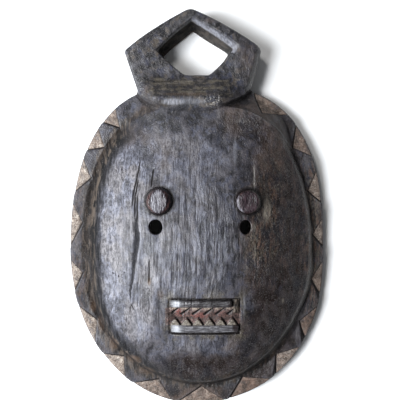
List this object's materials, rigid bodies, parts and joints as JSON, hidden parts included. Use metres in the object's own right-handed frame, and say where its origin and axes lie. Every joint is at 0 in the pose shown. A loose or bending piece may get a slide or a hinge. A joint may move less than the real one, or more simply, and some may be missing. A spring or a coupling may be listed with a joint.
{
  "type": "baule mask",
  "caption": "Carved wooden disc mask with a domed face that is hollow behind, a border of cut triangles and a pierced arch of horns.",
  "frame": {"origin": "middle of the object's box in plan, at the flat back of the rim that it lies on", "axes": "+Z out of the face, +Y up the face to the horns, +X to the right of someone who looks at it"},
  "size_m": [0.2556, 0.3926, 0.0599],
  "materials": {
    "carved_wood": "dark worn patina with a soft sheen, upright grain, kaolin in the cut triangles and a trace of red in the mouth"
  },
  "bodies": {
    "root": {"mask": "carved_wood"}
  },
  "joints": []
}
